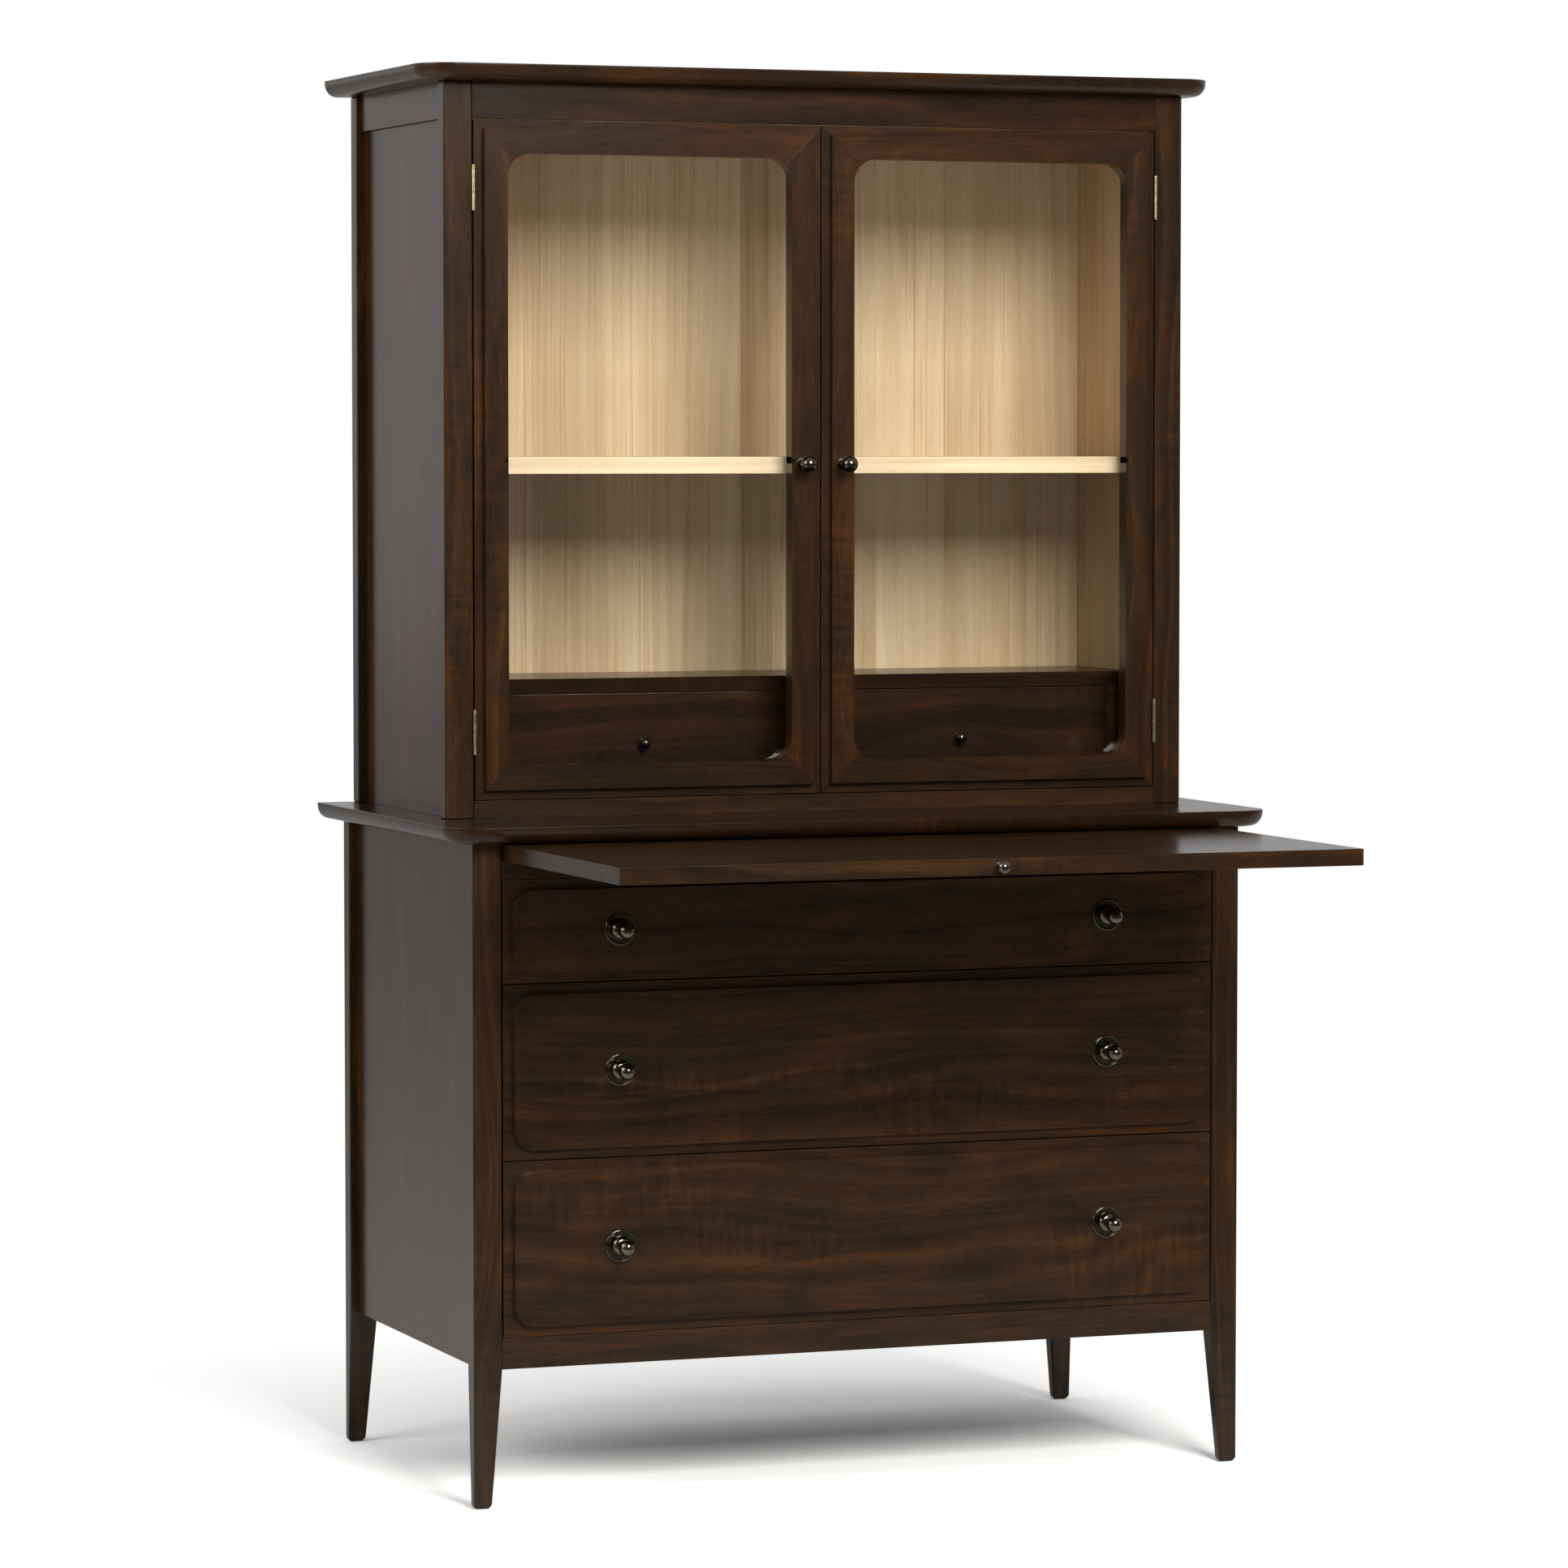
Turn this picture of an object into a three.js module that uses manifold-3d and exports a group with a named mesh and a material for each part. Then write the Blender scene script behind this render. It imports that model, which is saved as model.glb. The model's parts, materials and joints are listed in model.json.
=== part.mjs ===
// A secretary desk in dark walnut: a chest of three drawers with a pull-out writing slide,
// and a hutch on top with two glass doors, a shelf and two small drawers.
// Millimetres, +Z up. The front faces -Y, and left and right are as seen from the front.
// The writing slide rests pulled out. Everything else rests closed.
import * as THREE from 'three';
import { mergeVertices } from 'three/addons/utils/BufferGeometryUtils.js';
import Module from 'manifold-3d';

const wasm = await Module();
wasm.setup();
const { Manifold, Mesh: SolidMesh } = wasm;

// Clearances and one overrun for every cut and join
const seatGap = 0.3;
const overrun = 2;

// Tops of the base and the hutch
const topThickness = 21.5;
const topOverhang = 36;
const topCornerRadius = 50;
const topEdgeInset = 16;
const topEdgeBand = 3.5;

// Base case
const caseWidth = 1057;
const caseDepth = 575;
const legClearance = 177;
const postWidth = 38;
const postDepth = 26;
const footWidth = 24;
const footDepth = 15;
const footChamfer = 4;
const sideRecess = 11;
const sideThickness = 16;
const railDepth = 20;
const bottomPanelThickness = 18.5;
const bottomRailHeight = 21;
const slideRailHeight = 23.5;
const backThickness = 9;
const backRecess = 6;

// Drawers of the base
const deepDrawerHeight = 224.5;
const shallowDrawerHeight = 132.5;
const drawerGap = 1.5;
const drawerFrontThickness = 20;
const drawerBorder = 13;
const drawerFieldProud = 8.5;
const drawerFieldRadius = 28;
const drawerBoxLift = 14;
const drawerBoxDrop = 26;
const drawerBoxGap = 3;
const drawerBoxWall = 12;
const drawerBoxBottom = 8;
const drawerBackGap = 20;
const drawerKnobInset = 192.5;
const ledgeReach = 14;
const ledgeHeight = 11;

// Writing slide
const slideThickness = 21;
const slideBackRoom = 40;
const slideHold = 80;
const slideSideGap = 1;
const slideHeadroom = 1.2;

// Hutch case
const hutchSideSetback = 14;
const hutchSetback = 159;
const hutchPostWidth = 38.5;
const hutchPostDepth = 26;
const hutchSideRecess = 12;
const hutchSideRailRecess = 6;
const hutchFloorThickness = 22.5;
const doorOpeningHeight = 873;
const hutchRailHeight = 46.5;
const hutchBackThickness = 10;
const hutchBackCover = 2;
const shelfThickness = 22;
const shelfHeight = 419;
const shelfSetback = 41;
const deckThickness = 19;
const deckHeight = 134;
const deckSetback = 95;

// Small drawers of the hutch
const dividerThickness = 18;
const spacerWidth = 40;
const spacerDepth = 18;
const smallDrawerGap = 1;
const smallFrontThickness = 16;
const smallBoxGap = 2;
const smallBoxWall = 9;
const smallBoxBottom = 6;
const smallBoxDrop = 18;
const smallBackGap = 12;

// Doors
const doorThickness = 22;
const doorGap = 1.5;
const hingeGap = 1.8;
const doorMember = 43;
const doorBorder = 12;
const doorFieldProud = 9;
const doorOpeningRadius = 30;
const doorKnobHeight = 430;
const glassThickness = 4;
const glassDepth = 11;
const rabbetWidth = 8;
const glassEdgeGap = 1;

// Butt hinges
const hingeLength = 58;
const hingeInset = 58;
const hingeLeafWidth = 20;
const hingeLeafThickness = 0.7;
const hingeBarrelRadius = 2.4;
const hingeBarrelStandoff = 2.9;
const hingePinRadius = 1.1;
const hingeKnuckles = 5;
const hingeKnuckleGap = 0.3;

// Knobs: the large ones have a backplate and a dome under the ball
const largeKnob = {
  plateRadius: 20.5, plateThickness: 3, rimWidth: 2.5, domeRadius: 13.5, domeHeight: 12,
  neckRadius: 6.5, ballRadius: 11, ballCentre: 27,
};
const doorKnob = {
  plateRadius: 8.5, plateThickness: 2.5, rimWidth: 1, domeRadius: 6.5, domeHeight: 7,
  neckRadius: 4.5, ballRadius: 11, ballCentre: 23,
};
const slideKnob = {
  plateRadius: 6, plateThickness: 1.5, rimWidth: 0.8, domeRadius: 4.5, domeHeight: 4,
  neckRadius: 3.5, ballRadius: 8, ballCentre: 12,
};
const smallKnob = {
  plateRadius: 6, plateThickness: 1.5, rimWidth: 0.8, domeRadius: 4.5, domeHeight: 4,
  neckRadius: 3.5, ballRadius: 7.5, ballCentre: 11.5,
};

// How finely round shapes are cut
const cornerSteps = 7;
const edgeSteps = 6;
const knobSides = 20;
const ballSteps = 7;
const domeSteps = 3;
const barrelSides = 14;

// Heights, from the floor up
const bottomRailTop = legClearance + bottomPanelThickness + bottomRailHeight;
const thirdDrawerTop = bottomRailTop + deepDrawerHeight;
const secondDrawerTop = thirdDrawerTop + deepDrawerHeight;
const firstDrawerTop = secondDrawerTop + shallowDrawerHeight;
const slideRailTop = firstDrawerTop + slideRailHeight;
const slideBottom = slideRailTop + seatGap;
const caseTop = slideBottom + slideThickness + slideHeadroom;
const baseTop = caseTop + topThickness;
const hutchFloorTop = baseTop + hutchFloorThickness;
const doorOpeningTop = hutchFloorTop + doorOpeningHeight;
const hutchCaseTop = doorOpeningTop + hutchRailHeight;
const deckTop = hutchFloorTop + deckHeight + deckThickness;
const deckBottom = hutchFloorTop + deckHeight;
const shelfBottom = hutchFloorTop + shelfHeight;

// Half widths from the middle, and places from the front
const caseHalf = caseWidth / 2;
const bayHalf = caseHalf - postWidth;
const hutchHalf = caseHalf - hutchSideSetback;
const hutchBayHalf = hutchHalf - hutchPostWidth;
const baseBackFront = caseDepth - backRecess - backThickness;
const hutchBackFront = caseDepth - hutchPostDepth - hutchBackCover;
const deckFront = hutchSetback + deckSetback;
const slideDepth = caseDepth - slideBackRoom;
const slideExtension = slideDepth - slideHold;

const sides = [['left', -1], ['right', 1]];

const woodLook = { roughness: 0.42, metalness: 0 };
const walnut = new THREE.MeshStandardMaterial({ color: 0x3a2416, ...woodLook });
const maple = new THREE.MeshStandardMaterial({ color: 0xd9bd8c, ...woodLook });
const brass = new THREE.MeshStandardMaterial({ color: 0xd8c06a, roughness: 0.3, metalness: 1 });
const nickel = new THREE.MeshStandardMaterial({ color: 0x4a443c, roughness: 0.15, metalness: 1 });
const glass = new THREE.MeshStandardMaterial({
  color: 0xe8f0ec, roughness: 0.05, metalness: 0, transparent: true, opacity: 0.25,
});

function place(parent, name, geometry, material, x = 0, y = 0, z = 0) {
  const mesh = new THREE.Mesh(geometry, material);
  mesh.name = name;
  mesh.position.set(x, y, z);
  parent.add(mesh);
}

// A box between two places on each axis
function block(xs, ys, zs) {
  const geometry = new THREE.BoxGeometry(...[xs, ys, zs].map(([a, b]) => Math.abs(b - a)));
  return geometry.translate(...[xs, ys, zs].map(([a, b]) => (a + b) / 2));
}

// A board given by its limits and placed by its middle
function board(parent, name, material, xs, ys, zs) {
  const size = [xs, ys, zs].map(([a, b]) => Math.abs(b - a));
  const middle = [xs, ys, zs].map(([a, b]) => (a + b) / 2);
  place(parent, name, new THREE.BoxGeometry(...size), material, ...middle);
}

// A stretch of X given by distances from the middle, on one side
function reach(sign, from, to) {
  return [Math.min(sign * from, sign * to), Math.max(sign * from, sign * to)];
}

function solid(geometry) {
  const bare = new THREE.BufferGeometry();
  bare.setAttribute('position', geometry.getAttribute('position'));
  bare.setIndex(geometry.index);
  const welded = mergeVertices(bare);
  return new Manifold(new SolidMesh({
    numProp: 3,
    vertProperties: new Float32Array(welded.getAttribute('position').array),
    triVerts: new Uint32Array(welded.index.array),
  }));
}

function surface(manifold) {
  const mesh = manifold.getMesh();
  const geometry = new THREE.BufferGeometry();
  geometry.setAttribute('position', new THREE.BufferAttribute(mesh.vertProperties, 3));
  geometry.setIndex(new THREE.BufferAttribute(mesh.triVerts, 1));
  geometry.computeVertexNormals();
  return geometry;
}

function join(...geometries) {
  return geometries.map(solid).reduce((whole, piece) => whole.add(piece));
}

function cut(whole, ...geometries) {
  return geometries.map(solid).reduce((rest, piece) => rest.subtract(piece), whole);
}

// A solid through convex rings of points, counted anticlockwise from above, lowest first
function loft(rings) {
  const count = rings[0].length;
  const last = (rings.length - 1) * count;
  const index = [];
  for (let ring = 0; ring + 1 < rings.length; ring += 1) {
    for (let i = 0; i < count; i += 1) {
      const a = ring * count + i;
      const b = ring * count + ((i + 1) % count);
      index.push(a, b, b + count, a, b + count, a + count);
    }
  }
  for (let i = 1; i + 1 < count; i += 1) {
    index.push(0, i + 1, i, last, last + i, last + i + 1);
  }
  const points = rings.flat().flatMap((point) => point.toArray());
  const geometry = new THREE.BufferGeometry();
  geometry.setAttribute('position', new THREE.Float32BufferAttribute(points, 3));
  geometry.setIndex(index);
  geometry.computeVertexNormals();
  return geometry;
}

// A leg and post in one: straight beside the case, its two inner faces tapering below it.
// It is drawn from its outer corner, with inward given as a sign on each axis.
function legGeometry(inwardX, inwardY, height) {
  const rectangle = (x0, x1, y0, y1, z) => {
    const xs = [inwardX * x0, inwardX * x1].sort((a, b) => a - b);
    const ys = [inwardY * y0, inwardY * y1].sort((a, b) => a - b);
    return [[0, 0], [1, 0], [1, 1], [0, 1]].map(([i, j]) => new THREE.Vector3(xs[i], ys[j], z));
  };
  return loft([
    rectangle(footChamfer, footWidth - footChamfer, footChamfer, footDepth - footChamfer, 0),
    rectangle(0, footWidth, 0, footDepth, footChamfer),
    rectangle(0, postWidth, 0, postDepth, legClearance),
    rectangle(0, postWidth, 0, postDepth, height),
  ]);
}

// A top with rounded front corners, a sharp upper arris and a rounded underside.
// Its back edge stays flat at depth, and it is drawn from the middle of the front plane.
function topGeometry(halfWidth, front, back) {
  const outline = (inset, z) => {
    const radius = topCornerRadius - inset;
    const points = [new THREE.Vector3(inset - halfWidth, back, z)];
    for (const sign of [-1, 1]) {
      for (let step = 0; step <= cornerSteps; step += 1) {
        const turn = ((sign < 0 ? step : cornerSteps - step) / cornerSteps) * (Math.PI / 2);
        const x = sign * (halfWidth - topCornerRadius + radius * Math.cos(turn));
        const y = front + topCornerRadius - radius * Math.sin(turn);
        points.push(new THREE.Vector3(x, y, z));
      }
    }
    points.push(new THREE.Vector3(halfWidth - inset, back, z));
    return points;
  };
  const rings = [];
  for (let step = 0; step <= edgeSteps; step += 1) {
    const turn = (step / edgeSteps) * (Math.PI / 2);
    const inset = topEdgeInset * (1 - Math.sin(turn));
    rings.push(outline(inset, (topThickness - topEdgeBand) * (1 - Math.cos(turn))));
  }
  rings.push(outline(0, topThickness));
  return loft(rings);
}

// A slab with rounded corners in the XZ plane, between two places on Y
function roundedSlab(xs, zs, radius, ys) {
  const [width, height] = [xs, zs].map(([a, b]) => (b - a) / 2);
  const shape = new THREE.Shape();
  const corners = [[1, -1, 3], [1, 1, 0], [-1, 1, 1], [-1, -1, 2]];
  for (const [right, up, quarter] of corners) {
    const start = (quarter * Math.PI) / 2;
    const x = right * (width - radius);
    const y = up * (height - radius);
    shape.absarc(x, y, radius, start, start + Math.PI / 2);
  }
  const depth = ys[1] - ys[0];
  const geometry = new THREE.ExtrudeGeometry(shape, {
    depth, curveSegments: cornerSteps, bevelEnabled: false,
  });
  geometry.rotateX(Math.PI / 2);
  return geometry.translate((xs[0] + xs[1]) / 2, ys[1], (zs[0] + zs[1]) / 2);
}

// A turned knob that stands out towards -Y from its seat at the origin
function knobGeometry(size) {
  const points = [new THREE.Vector2(0, 0), new THREE.Vector2(size.plateRadius, 0)];
  points.push(new THREE.Vector2(size.plateRadius, size.plateThickness / 2));
  points.push(new THREE.Vector2(size.plateRadius - size.rimWidth, size.plateThickness));
  const domeRise = size.domeHeight - size.plateThickness;
  for (let step = 0; step <= domeSteps; step += 1) {
    const turn = (step / domeSteps) * (Math.PI / 2);
    const radius = size.neckRadius + (size.domeRadius - size.neckRadius) * Math.cos(turn);
    points.push(new THREE.Vector2(radius, size.plateThickness + domeRise * Math.sin(turn)));
  }
  const start = -Math.acos(size.neckRadius / size.ballRadius);
  for (let step = 0; step < ballSteps; step += 1) {
    const turn = start + (step / ballSteps) * (Math.PI / 2 - start);
    const radius = size.ballRadius * Math.cos(turn);
    points.push(new THREE.Vector2(radius, size.ballCentre + size.ballRadius * Math.sin(turn)));
  }
  points.push(new THREE.Vector2(0, size.ballCentre + size.ballRadius));
  return new THREE.LatheGeometry(points, knobSides).rotateX(Math.PI);
}

// An open box of walls and a bottom
function trayGeometry(xs, ys, zs, wall, bottom) {
  const inside = [xs, ys].map(([a, b]) => [a + wall, b - wall]);
  return cut(solid(block(xs, ys, zs)), block(...inside, [zs[0] + bottom, zs[1] + overrun]));
}

// Legs, panels and rails of the base
function buildBase(desk) {
  for (const [side, sign] of sides) {
    const front = legGeometry(-sign, 1, caseTop);
    place(desk, `leg_front_${side}`, front, walnut, sign * caseHalf);
    const rear = legGeometry(-sign, -1, caseTop);
    place(desk, `leg_rear_${side}`, rear, walnut, sign * caseHalf, caseDepth);
    const panel = reach(sign, caseHalf - sideRecess, caseHalf - sideRecess - sideThickness);
    const between = [postDepth, caseDepth - postDepth];
    board(desk, `base_side_${side}`, walnut, panel, between, [legClearance, caseTop]);
    place(desk, `runner_frame_${side}`, runnerGeometry(sign), maple);
  }
  const bay = [-bayHalf, bayHalf];
  const panelTop = legClearance + bottomPanelThickness;
  board(desk, 'base_bottom_panel', walnut, bay, [0, baseBackFront], [legClearance, panelTop]);
  board(desk, 'base_bottom_rail', walnut, bay, [0, railDepth], [panelTop, bottomRailTop]);
  board(desk, 'slide_rail', walnut, bay, [0, railDepth], [firstDrawerTop, slideRailTop]);
  const back = [baseBackFront, baseBackFront + backThickness];
  board(desk, 'base_back', walnut, bay, back, [legClearance, caseTop]);
  const top = topGeometry(caseHalf + topOverhang, -topOverhang, caseDepth);
  place(desk, 'base_top', top, walnut, 0, 0, caseTop);
}

// A web against the side panel, with a ledge under each drawer box and under the slide
function runnerGeometry(sign) {
  const outer = caseHalf - sideRecess - sideThickness;
  const ys = [postDepth, caseDepth - postDepth];
  const web = block(reach(sign, outer, bayHalf), ys, [legClearance, caseTop]);
  const boxBottoms = [bottomRailTop, thirdDrawerTop, secondDrawerTop].map((z) => z + drawerBoxLift);
  const seats = [...boxBottoms.map((z) => z - seatGap), slideRailTop];
  const ledges = seats.map((z) => (
    block(reach(sign, outer, bayHalf - ledgeReach), ys, [z - ledgeHeight, z])
  ));
  return surface(join(web, ...ledges));
}

// A drawer of the base: a front with a raised field, a box behind it and two knobs
function buildDrawer(desk, name, bottom, height) {
  const frontHalf = bayHalf - drawerGap;
  const zs = [bottom + drawerGap / 2, bottom + height - drawerGap / 2];
  const plate = block([-frontHalf, frontHalf], [0, drawerFrontThickness], zs);
  const field = roundedSlab(
    [drawerBorder - frontHalf, frontHalf - drawerBorder],
    [zs[0] + drawerBorder, zs[1] - drawerBorder],
    drawerFieldRadius,
    [-drawerFieldProud, overrun],
  );
  place(desk, `${name}_front`, surface(join(plate, field)), walnut);
  const boxHalf = bayHalf - drawerBoxGap;
  const box = trayGeometry(
    [-boxHalf, boxHalf],
    [drawerFrontThickness, baseBackFront - drawerBackGap],
    [bottom + drawerBoxLift, bottom + height - drawerBoxDrop],
    drawerBoxWall,
    drawerBoxBottom,
  );
  place(desk, `${name}_box`, surface(box), maple);
  for (const [side, sign] of sides) {
    const x = sign * (caseHalf - drawerKnobInset);
    const z = bottom + height / 2;
    place(desk, `${name}_knob_${side}`, knobGeometry(largeKnob), nickel, x, -drawerFieldProud, z);
  }
}

// The writing slide, pulled out
function buildSlide(desk) {
  const half = bayHalf - slideSideGap;
  const ys = [-slideExtension, slideDepth - slideExtension];
  board(desk, 'writing_slide', walnut, [-half, half], ys, [slideBottom, slideBottom + slideThickness]);
  const middle = slideBottom + slideThickness / 2;
  place(desk, 'writing_slide_knob', knobGeometry(slideKnob), nickel, 0, -slideExtension, middle);
}

// Posts, panels and boards of the hutch
function buildHutch(desk) {
  for (const [side, sign] of sides) {
    const post = reach(sign, hutchHalf, hutchBayHalf);
    const zs = [baseTop, hutchCaseTop];
    const frontEnd = hutchSetback + hutchPostDepth;
    const rearStart = caseDepth - hutchPostDepth;
    board(desk, `hutch_post_front_${side}`, walnut, post, [hutchSetback, frontEnd], zs);
    board(desk, `hutch_post_rear_${side}`, walnut, post, [rearStart, caseDepth], zs);
    const between = [frontEnd, rearStart];
    const panel = block(reach(sign, hutchHalf - hutchSideRecess, hutchBayHalf), between, zs);
    const railX = reach(sign, hutchHalf - hutchSideRailRecess, hutchBayHalf);
    const rail = block(railX, between, [doorOpeningTop, hutchCaseTop]);
    place(desk, `hutch_side_${side}`, surface(join(panel, rail)), walnut);
    place(desk, `drawer_spacer_${side}`, spacerGeometry(sign), walnut);
  }
  const bay = [-hutchBayHalf, hutchBayHalf];
  const back = [hutchBackFront, hutchBackFront + hutchBackThickness];
  board(desk, 'hutch_back', maple, bay, back, [baseTop, hutchCaseTop]);
  board(desk, 'hutch_floor', walnut, bay, [hutchSetback, hutchBackFront], [baseTop, hutchFloorTop]);
  const railYs = [hutchSetback, hutchSetback + railDepth];
  board(desk, 'hutch_top_rail', walnut, bay, railYs, [doorOpeningTop, hutchCaseTop]);
  board(desk, 'drawer_deck', walnut, bay, [deckFront, hutchBackFront], [deckBottom, deckTop]);
  const divider = [-dividerThickness / 2, dividerThickness / 2];
  const behind = [deckFront, hutchBackFront];
  board(desk, 'drawer_divider', walnut, divider, behind, [hutchFloorTop, deckBottom]);
  const shelfYs = [hutchSetback + shelfSetback, hutchBackFront];
  board(desk, 'shelf', maple, bay, shelfYs, [shelfBottom, shelfBottom + shelfThickness]);
  const front = hutchSetback - topOverhang;
  const top = topGeometry(hutchHalf + topOverhang, front, caseDepth);
  place(desk, 'hutch_top', top, walnut, 0, 0, hutchCaseTop);
}

// A filler beside a small drawer, so that it clears the open door, and the guide behind it
function spacerGeometry(sign) {
  const zs = [hutchFloorTop, deckBottom];
  const inner = hutchBayHalf - spacerWidth;
  const filler = block(reach(sign, hutchBayHalf, inner), [deckFront, deckFront + spacerDepth], zs);
  const guide = block(reach(sign, inner + spacerDepth, inner), [deckFront, hutchBackFront], zs);
  return surface(join(filler, guide));
}

// A small drawer, its front and box in one, with its knob
function buildSmallDrawer(desk, side, sign) {
  const inner = dividerThickness / 2;
  const outer = hutchBayHalf - spacerWidth;
  const floor = hutchFloorTop + seatGap;
  const frontX = reach(sign, inner + smallDrawerGap, outer - smallDrawerGap);
  const boxX = reach(sign, inner + smallBoxGap, outer - smallBoxGap);
  const frontYs = [deckFront, deckFront + smallFrontThickness];
  const front = block(frontX, frontYs, [floor, deckBottom - smallDrawerGap]);
  const boxYs = [deckFront, hutchBackFront - smallBackGap];
  const boxZs = [floor, deckBottom - smallBoxDrop];
  const pocket = block(
    boxX.map((x, end) => x + (end ? -smallBoxWall : smallBoxWall)),
    [deckFront + smallFrontThickness, boxYs[1] - smallBoxWall],
    [floor + smallBoxBottom, deckBottom],
  );
  const body = cut(join(block(boxX, boxYs, boxZs), front), pocket);
  place(desk, `small_drawer_${side}`, surface(body), walnut);
  const x = (frontX[0] + frontX[1]) / 2;
  const z = (hutchFloorTop + deckBottom) / 2;
  place(desk, `small_drawer_knob_${side}`, knobGeometry(smallKnob), nickel, x, deckFront, z);
}

// A glass door: a frame with a raised field, its pane, knob and two hinges
function buildDoor(desk, side, sign) {
  const outer = hutchBayHalf - hingeGap;
  const inner = doorGap / 2;
  const xs = reach(sign, inner, outer);
  const zs = [hutchFloorTop + doorGap, doorOpeningTop - doorGap];
  const ys = [hutchSetback, hutchSetback + doorThickness];
  const shrink = ([a, b], by) => [a + by, b - by];
  const plate = block(xs, ys, zs);
  const fieldYs = [hutchSetback - doorFieldProud, hutchSetback + overrun];
  const field = block(shrink(xs, doorBorder), fieldYs, shrink(zs, doorBorder));
  const openX = shrink(xs, doorMember);
  const openZ = shrink(zs, doorMember);
  const throughYs = [fieldYs[0] - overrun, ys[1] + overrun];
  const opening = roundedSlab(openX, openZ, doorOpeningRadius, throughYs);
  const paneFront = hutchSetback + glassDepth;
  const rabbet = block(shrink(openX, -rabbetWidth), [paneFront, throughYs[1]],
    shrink(openZ, -rabbetWidth));
  const frame = cut(join(plate, field), opening, rabbet);
  place(desk, `door_frame_${side}`, surface(frame), walnut);
  const paneReach = glassEdgeGap - rabbetWidth;
  const paneX = shrink(openX, paneReach);
  const paneZ = shrink(openZ, paneReach);
  board(desk, `door_glass_${side}`, glass, paneX, [paneFront, paneFront + glassThickness], paneZ);
  const knobX = sign * (inner + (doorBorder + doorMember) / 2);
  const knobZ = zs[0] + doorKnobHeight;
  const seat = hutchSetback - doorFieldProud;
  place(desk, `door_knob_${side}`, knobGeometry(doorKnob), nickel, knobX, seat, knobZ);
  const hinges = [['upper', zs[1] - hingeInset - hingeLength], ['lower', zs[0] + hingeInset]];
  for (const [level, bottom] of hinges) {
    const x = sign * (hutchBayHalf - hingeGap / 2);
    const y = hutchSetback - hingeBarrelStandoff;
    for (const [owner, outward] of [['post', sign], ['door', -sign]]) {
      const leaf = hingeLeafGeometry(owner === 'post', outward);
      place(desk, `hinge_${level}_${side}_${owner}_leaf`, leaf, brass, x, y, bottom);
    }
  }
}

// Half of a butt hinge, from its axis. The post's leaf holds the pin and the odd knuckles.
// The door's leaf turns on the pin with the knuckles between them.
function hingeLeafGeometry(holdsPin, outward) {
  const pitch = hingeLength / hingeKnuckles;
  const round = (radius, from, to) => (
    new THREE.CylinderGeometry(radius, radius, to - from, barrelSides)
      .rotateX(Math.PI / 2)
      .translate(0, 0, (from + to) / 2)
  );
  const plateX = reach(outward, hingeGap / 2, hingeGap / 2 - hingeLeafThickness);
  const plateFront = hingeBarrelRadius + seatGap;
  const pieces = [block(plateX, [plateFront, plateFront + hingeLeafWidth], [0, hingeLength])];
  for (let knuckle = holdsPin ? 0 : 1; knuckle < hingeKnuckles; knuckle += 2) {
    const from = knuckle * pitch + (knuckle === 0 ? 0 : hingeKnuckleGap / 2);
    const to = (knuckle + 1) * pitch - (knuckle === hingeKnuckles - 1 ? 0 : hingeKnuckleGap / 2);
    pieces.push(round(hingeBarrelRadius, from, to));
    pieces.push(block(plateX, [0, plateFront + overrun], [from, to]));
  }
  if (holdsPin) {
    return surface(join(...pieces, round(hingePinRadius, 0, hingeLength)));
  }
  const bore = round(hingePinRadius + seatGap, -overrun, hingeLength + overrun);
  return surface(cut(join(...pieces), bore));
}

const desk = new THREE.Group();
desk.name = 'secretary_desk';
buildBase(desk);
buildDrawer(desk, 'top_drawer', secondDrawerTop, shallowDrawerHeight);
buildDrawer(desk, 'middle_drawer', thirdDrawerTop, deepDrawerHeight);
buildDrawer(desk, 'bottom_drawer', bottomRailTop, deepDrawerHeight);
buildSlide(desk);
buildHutch(desk);
for (const [side, sign] of sides) {
  buildSmallDrawer(desk, side, sign);
  buildDoor(desk, side, sign);
}

// The part's origin is under the middle of the whole desk with its slide out
const frontmost = slideExtension + slideKnob.ballCentre + slideKnob.ballRadius;
desk.position.y = (frontmost - caseDepth) / 2;
desk.updateMatrixWorld(true);

export default desk;
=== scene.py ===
"""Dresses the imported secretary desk: walnut and maple joinery, brass hinges, dark nickel knobs."""
import json
import math

import bmesh
import bpy
from mathutils import Matrix, Vector


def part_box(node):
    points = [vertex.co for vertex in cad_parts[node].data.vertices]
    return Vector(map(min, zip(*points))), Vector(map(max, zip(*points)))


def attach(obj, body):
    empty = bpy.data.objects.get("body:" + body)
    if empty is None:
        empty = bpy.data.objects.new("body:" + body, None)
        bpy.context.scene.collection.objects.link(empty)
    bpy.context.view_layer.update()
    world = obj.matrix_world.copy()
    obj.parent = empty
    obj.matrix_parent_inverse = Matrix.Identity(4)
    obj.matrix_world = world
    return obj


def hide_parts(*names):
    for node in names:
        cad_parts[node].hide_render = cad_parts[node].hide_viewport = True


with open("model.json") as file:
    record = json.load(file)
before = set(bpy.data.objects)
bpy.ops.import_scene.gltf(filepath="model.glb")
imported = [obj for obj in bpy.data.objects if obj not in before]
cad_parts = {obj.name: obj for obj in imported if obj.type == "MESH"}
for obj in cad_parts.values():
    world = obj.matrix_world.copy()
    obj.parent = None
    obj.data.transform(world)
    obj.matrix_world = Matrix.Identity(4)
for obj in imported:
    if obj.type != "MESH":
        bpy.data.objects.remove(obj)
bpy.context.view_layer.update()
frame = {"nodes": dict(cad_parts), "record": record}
body_of = {
    node: body
    for body, nodes in frame["record"]["behaviour"]["bodies"].items()
    for node in nodes
}

MM = 0.001

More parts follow.
